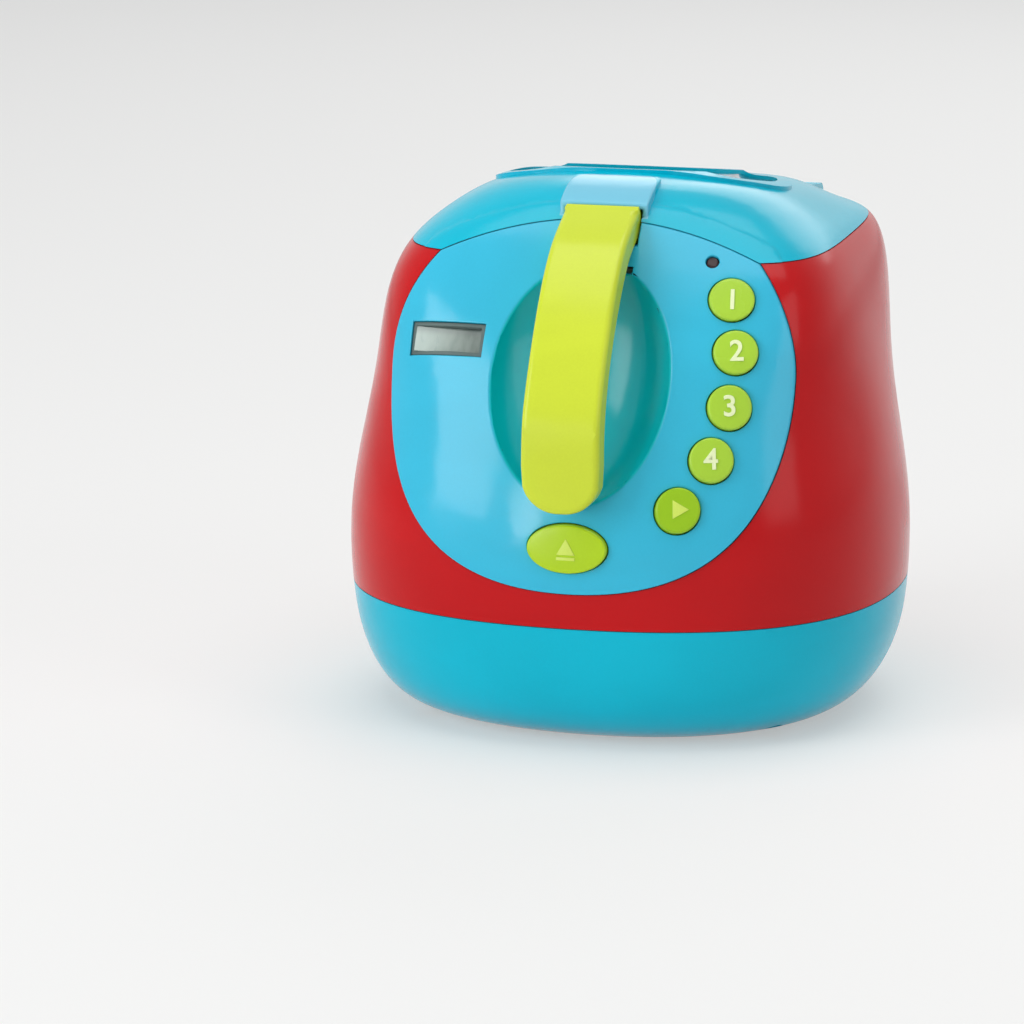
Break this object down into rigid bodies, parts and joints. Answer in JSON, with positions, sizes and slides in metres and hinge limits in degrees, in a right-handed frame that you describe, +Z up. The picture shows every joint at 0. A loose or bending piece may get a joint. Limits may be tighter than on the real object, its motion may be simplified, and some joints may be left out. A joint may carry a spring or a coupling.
{
  "type": "toy air fryer",
  "caption": "Toy countertop air fryer with a hinged lid, a lift-out lattice basket on a curved handle, a sprung open button with a latch and round push buttons",
  "frame": {"origin": "on the ground under the middle of the toy's bounding box", "axes": "+Z up, -Y towards the front with the buttons, +X to the toy's own left, which is the viewer's right"},
  "size_m": [0.1956, 0.1996, 0.1906],
  "materials": {
    "turquoise": "moulded, smooth, glossy",
    "red": "moulded, smooth, glossy",
    "panel_blue": "moulded, smooth, glossy",
    "lime": "moulded, smooth, glossy",
    "green": "moulded, smooth, glossy",
    "grey_plastic": "moulded, fine texture",
    "basket_grey": "moulded, satin",
    "white_plastic": "moulded",
    "dark_plastic": "moulded, satin",
    "screen": "printed film under clear plastic",
    "lamp_red": "tinted",
    "board_green": "coated board",
    "rubber_grey": "soft, matt",
    "steel": "plated",
    "battery": "plain sleeve",
    "clear": "clear plastic",
    "felt": "felt"
  },
  "bodies": {
    "housing": {"base_shell": "turquoise", "body_shell": "red", "front_panel": "panel_blue", "hinge_pin": "steel", "panel_screws": "steel", "open_spring": "steel", "latch_pin": "steel", "display_frame": "dark_plastic", "display_screen": "screen", "indicator_lens": "lamp_red", "control_board": "board_green", "keypad": "rubber_grey", "board_parts": "dark_plastic", "board_screws": "steel", "fry_tub": "grey_plastic", "feet": "rubber_grey", "case_screws": "steel", "batteries": "battery", "battery_contacts": "steel", "battery_door": "turquoise", "battery_door_screw": "steel", "speaker": "dark_plastic"},
    "lid": {"lid_shell": "turquoise", "lid_window": "clear", "lid_liner": "grey_plastic", "liner_screws": "steel", "filter_cover": "panel_blue", "filter_pad": "felt"},
    "basket_set": {"basket": "basket_grey", "basket_handle": "lime", "handle_screws": "steel"},
    "latch": {"latch_lever": "white_plastic"},
    "open_key": {"open_button": "green"},
    "program_key_1": {"program_button_1": "green"},
    "program_key_2": {"program_button_2": "green"},
    "program_key_3": {"program_button_3": "green"},
    "program_key_4": {"program_button_4": "green"},
    "start_key": {"start_button": "green"}
  },
  "joints": [
    {"name": "lid_hinge", "type": "hinge", "parent": "housing", "child": "lid", "pos_m": [0, 0.0953, 0.1664], "axis": [-1, 0, 0], "range_deg": [0, 100]},
    {"name": "basket_lift", "type": "slide", "parent": "housing", "child": "basket_set", "axis": [0, 0, 1], "range_m": [0, 0.095]},
    {"name": "open_press", "type": "slide", "parent": "housing", "child": "open_key", "axis": [0, 1, 0], "range_m": [0, 0.003], "stiffness_N_per_m": 400, "springref_m": -0.002},
    {"name": "latch_turn", "type": "hinge", "parent": "housing", "child": "latch", "pos_m": [0, -0.0389, 0.118], "axis": [1, 0, 0], "range_deg": [0, 3.9]},
    {"name": "program_press_1", "type": "slide", "parent": "housing", "child": "program_key_1", "axis": [-0.3473, 0.8597, -0.3746], "range_m": [0, 0.0015], "stiffness_N_per_m": 500, "springref_m": -0.001},
    {"name": "program_press_2", "type": "slide", "parent": "housing", "child": "program_key_2", "axis": [-0.3473, 0.8597, -0.3746], "range_m": [0, 0.0015], "stiffness_N_per_m": 500, "springref_m": -0.001},
    {"name": "program_press_3", "type": "slide", "parent": "housing", "child": "program_key_3", "axis": [-0.3473, 0.8597, -0.3746], "range_m": [0, 0.0015], "stiffness_N_per_m": 500, "springref_m": -0.001},
    {"name": "program_press_4", "type": "slide", "parent": "housing", "child": "program_key_4", "axis": [-0.3473, 0.8597, -0.3746], "range_m": [0, 0.0015], "stiffness_N_per_m": 500, "springref_m": -0.001},
    {"name": "start_press", "type": "slide", "parent": "housing", "child": "start_key", "axis": [-0.3473, 0.8597, -0.3746], "range_m": [0, 0.0015], "stiffness_N_per_m": 500, "springref_m": -0.001}
  ],
  "couplings": [
    {"joint": "basket_lift", "follows": "lid_hinge", "m_per_rad": 0.0544},
    {"joint": "latch_turn", "follows": "open_press", "rad_per_m": 22.5}
  ]
}
